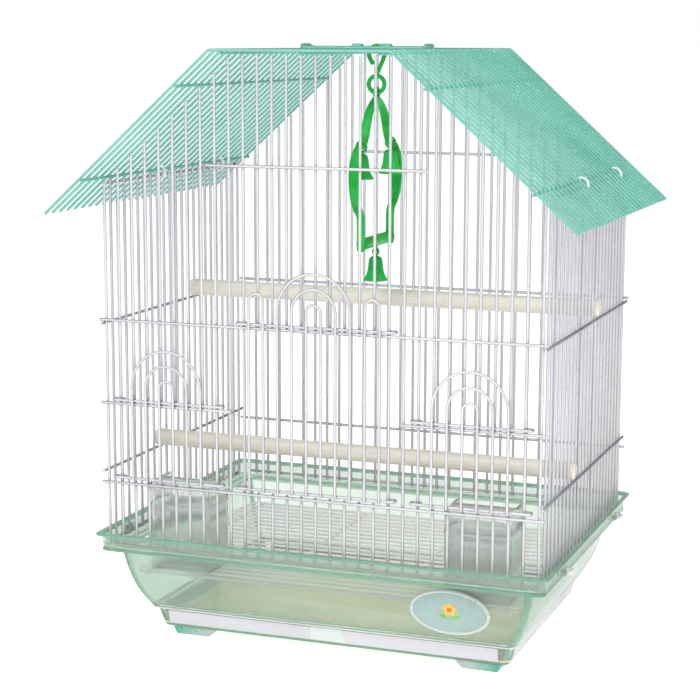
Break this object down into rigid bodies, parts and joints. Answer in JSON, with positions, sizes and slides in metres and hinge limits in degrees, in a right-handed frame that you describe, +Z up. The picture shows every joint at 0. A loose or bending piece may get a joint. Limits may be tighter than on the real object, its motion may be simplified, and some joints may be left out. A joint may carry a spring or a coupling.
{
  "type": "bird cage",
  "caption": "Table-top wire bird cage with a gabled roof, three lift-up doors, a footed base tray, a floor grille, perches, feeder cups, a hanging toy with bells and a carry handle.",
  "frame": {"origin": "on the surface the feet stand on, under the middle of the whole outline", "axes": "+Z up, -Y the front with the doors and the badge, +X to the right as seen from the front"},
  "size_m": [0.3574, 0.2736, 0.4067],
  "materials": {
    "white_wire": "gloss white coated steel wire",
    "teal_wire": "gloss teal-green coated steel wire",
    "teal_plastic": "moulded",
    "tray_plastic": "translucent, moulded",
    "foot_plastic": "translucent, moulded",
    "white_plastic": "moulded",
    "badge_plastic": "printed plate in a moulded frame",
    "perch_wood": "plain turned dowel",
    "smoky_plastic": "translucent, moulded",
    "toy_plastic": "bright green, moulded"
  },
  "bodies": {
    "base": {"base_tray": "tray_plastic", "left_front_foot": "foot_plastic", "right_front_foot": "foot_plastic", "left_back_foot": "foot_plastic", "right_back_foot": "foot_plastic", "badge_frame": "badge_plastic", "badge_plate": "badge_plastic"},
    "cage": {"front_panel": "white_wire", "back_panel": "white_wire", "left_panel": "white_wire", "right_panel": "white_wire", "roof_left_slope": "teal_wire", "roof_right_slope": "teal_wire", "roof_top": "teal_wire", "floor_grille": "white_wire", "left_front_roof_clip": "white_plastic", "right_front_roof_clip": "white_plastic", "left_back_roof_clip": "white_plastic", "right_back_roof_clip": "white_plastic", "upper_perch": "perch_wood", "lower_perch": "perch_wood", "left_handle_clip": "teal_plastic", "right_handle_clip": "teal_plastic"},
    "main_door": {"main_door": "white_wire"},
    "left_feeder_door": {"left_feeder_door": "white_wire"},
    "right_feeder_door": {"right_feeder_door": "white_wire"},
    "left_feeder_cup": {"left_feeder_cup": "smoky_plastic"},
    "right_feeder_cup": {"right_feeder_cup": "smoky_plastic"},
    "carry_handle": {"carry_handle": "teal_wire"},
    "left_front_base_clip": {"left_front_base_clip": "white_plastic"},
    "right_front_base_clip": {"right_front_base_clip": "white_plastic"},
    "left_back_base_clip": {"left_back_base_clip": "white_plastic"},
    "right_back_base_clip": {"right_back_base_clip": "white_plastic"},
    "toy_hook": {"toy_hook": "toy_plastic"},
    "toy_frame": {"toy_frame": "toy_plastic", "toy_perch": "toy_plastic"},
    "front_bell": {"front_bell": "toy_plastic", "front_bell_clapper": "toy_plastic"},
    "rear_bell": {"rear_bell": "toy_plastic", "rear_bell_clapper": "toy_plastic"},
    "centre_bell": {"centre_bell": "toy_plastic", "centre_bell_clapper": "toy_plastic"}
  },
  "joints": [
    {"name": "cage_lift", "type": "slide", "parent": "base", "child": "cage", "axis": [0, 0, 1], "range_m": [0, 0.1]},
    {"name": "main_door_lift", "type": "slide", "parent": "cage", "child": "main_door", "axis": [0, 0, 1], "range_m": [0, 0.099]},
    {"name": "left_feeder_door_lift", "type": "slide", "parent": "cage", "child": "left_feeder_door", "axis": [0, 0, 1], "range_m": [0, 0.047]},
    {"name": "right_feeder_door_lift", "type": "slide", "parent": "cage", "child": "right_feeder_door", "axis": [0, 0, 1], "range_m": [0, 0.047]},
    {"name": "left_feeder_cup_lift", "type": "slide", "parent": "cage", "child": "left_feeder_cup", "axis": [0, 0, 1], "range_m": [0, 0.045]},
    {"name": "right_feeder_cup_lift", "type": "slide", "parent": "cage", "child": "right_feeder_cup", "axis": [0, 0, 1], "range_m": [0, 0.045]},
    {"name": "carry_handle_turn", "type": "hinge", "parent": "cage", "child": "carry_handle", "pos_m": [0, 0, 0.4034], "axis": [-1, 0, 0], "range_deg": [0, 135]},
    {"name": "left_front_base_clip_turn", "type": "hinge", "parent": "base", "child": "left_front_base_clip", "pos_m": [-0.158, -0.065, 0.071], "axis": [0, -1, 0], "range_deg": [0, 80]},
    {"name": "right_front_base_clip_turn", "type": "hinge", "parent": "base", "child": "right_front_base_clip", "pos_m": [0.158, -0.065, 0.071], "axis": [0, 1, 0], "range_deg": [0, 80]},
    {"name": "left_back_base_clip_turn", "type": "hinge", "parent": "base", "child": "left_back_base_clip", "pos_m": [-0.158, 0.085, 0.071], "axis": [0, -1, 0], "range_deg": [0, 80]},
    {"name": "right_back_base_clip_turn", "type": "hinge", "parent": "base", "child": "right_back_base_clip", "pos_m": [0.158, 0.085, 0.071], "axis": [0, 1, 0], "range_deg": [0, 80]},
    {"name": "toy_hook_swing", "type": "hinge", "parent": "cage", "child": "toy_hook", "pos_m": [0, 0.01, 0.4006], "axis": [0, 1, 0], "range_deg": [-20, 20]},
    {"name": "toy_frame_swing", "type": "hinge", "parent": "toy_hook", "child": "toy_frame", "pos_m": [0, 0.01, 0.3732], "axis": [1, 0, 0], "range_deg": [-15, 15]},
    {"name": "front_bell_swing", "type": "hinge", "parent": "toy_frame", "child": "front_bell", "pos_m": [0, -0.02, 0.3378], "axis": [0, 1, 0], "range_deg": [-30, 30]},
    {"name": "rear_bell_swing", "type": "hinge", "parent": "toy_frame", "child": "rear_bell", "pos_m": [0, 0.04, 0.3378], "axis": [0, 1, 0], "range_deg": [-30, 30]},
    {"name": "centre_bell_swing", "type": "hinge", "parent": "toy_frame", "child": "centre_bell", "pos_m": [0, 0.01, 0.2639], "axis": [0, 1, 0], "range_deg": [-30, 30]}
  ]
}
